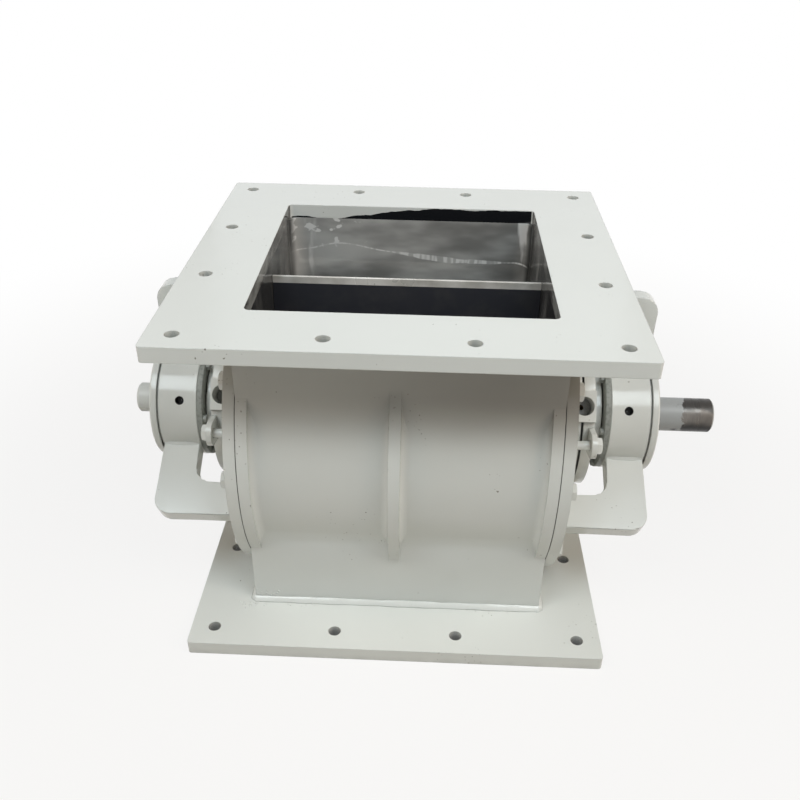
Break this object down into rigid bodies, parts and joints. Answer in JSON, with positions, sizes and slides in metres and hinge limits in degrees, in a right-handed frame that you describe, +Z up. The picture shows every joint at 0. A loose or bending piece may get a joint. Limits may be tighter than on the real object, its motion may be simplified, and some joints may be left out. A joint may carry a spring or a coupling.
{
  "type": "rotary airlock valve",
  "caption": "Rotary airlock valve with square bolted inlet and outlet flanges, a vaned rotor in a ribbed drum and outboard bearings on both sides.",
  "frame": {"origin": "centre of the outlet flange's underside, where the square bolt pattern's centre lies", "axes": "+X along the rotor shaft towards the drive end, +Y to the rear, +Z up, out of the inlet"},
  "size_m": [0.685, 0.46, 0.384],
  "materials": {
    "body_paint": "glossy light grey enamel with runs and brush marks",
    "painted_bolts": "same enamel, sprayed over",
    "shaft_steel": "turned dark steel with paint overspray beside the cap",
    "vane_steel": "dark plate with a machined bright tip",
    "bearing_steel": "ground bearing steel",
    "dark_steel": "blackened fasteners",
    "cage_brass": "machined brass",
    "seal_brass": "machined bronze",
    "packing": "braided soft packing",
    "rubber": "black nitrile"
  },
  "bodies": {
    "root": {"inlet_flange": "body_paint", "outlet_flange": "body_paint", "inlet_weld": "body_paint", "outlet_weld": "body_paint", "housing_body": "body_paint", "drive_cover_gasket": "rubber", "drive_end_cover": "body_paint", "drive_cover_bolts": "painted_bolts", "drive_seal_housing": "body_paint", "drive_packing_rings": "packing", "drive_lantern_ring": "seal_brass", "drive_gland_follower": "body_paint", "drive_seal_bolts": "painted_bolts", "drive_inner_cap": "body_paint", "drive_inner_cap_screws": "dark_steel", "drive_bearing_housing": "body_paint", "drive_front_bracket": "body_paint", "drive_rear_bracket": "body_paint", "drive_bearing_outer_ring": "bearing_steel", "drive_outer_cap": "body_paint", "drive_outer_cap_screws": "dark_steel", "drive_lip_seal": "rubber", "tail_cover_gasket": "rubber", "tail_end_cover": "body_paint", "tail_cover_bolts": "painted_bolts", "tail_seal_housing": "body_paint", "tail_packing_rings": "packing", "tail_lantern_ring": "seal_brass", "tail_gland_follower": "body_paint", "tail_seal_bolts": "painted_bolts", "tail_inner_cap": "body_paint", "tail_inner_cap_screws": "dark_steel", "tail_bearing_housing": "body_paint", "tail_front_bracket": "body_paint", "tail_rear_bracket": "body_paint", "tail_bearing_outer_ring": "bearing_steel", "tail_outer_cap": "body_paint", "tail_outer_cap_screws": "dark_steel", "tail_lip_seal": "rubber"},
    "rotor": {"rotor_shaft": "shaft_steel", "rotor_hub": "vane_steel", "vane_1": "vane_steel", "vane_2": "vane_steel", "vane_3": "vane_steel", "vane_4": "vane_steel", "vane_5": "vane_steel", "vane_6": "vane_steel", "vane_7": "vane_steel", "vane_8": "vane_steel", "drive_bearing_inner_ring": "bearing_steel", "tail_bearing_inner_ring": "bearing_steel", "drive_circlip": "dark_steel", "tail_circlip": "dark_steel"},
    "drive_cage": {"drive_bearing_cage": "cage_brass", "drive_bearing_balls": "bearing_steel"},
    "tail_cage": {"tail_bearing_cage": "cage_brass", "tail_bearing_balls": "bearing_steel"}
  },
  "joints": [
    {"name": "rotor_spin", "type": "hinge", "parent": "root", "child": "rotor", "pos_m": [0, 0, 0.192], "axis": [1, 0, 0], "continuous": true},
    {"name": "drive_cage_spin", "type": "hinge", "parent": "root", "child": "drive_cage", "pos_m": [0.2525, 0, 0.192], "axis": [1, 0, 0], "continuous": true},
    {"name": "tail_cage_spin", "type": "hinge", "parent": "root", "child": "tail_cage", "pos_m": [-0.2525, 0, 0.192], "axis": [1, 0, 0], "continuous": true}
  ],
  "couplings": [
    {"joint": "drive_cage_spin", "follows": "rotor_spin", "ratio": 0.4},
    {"joint": "tail_cage_spin", "follows": "rotor_spin", "ratio": 0.4}
  ]
}
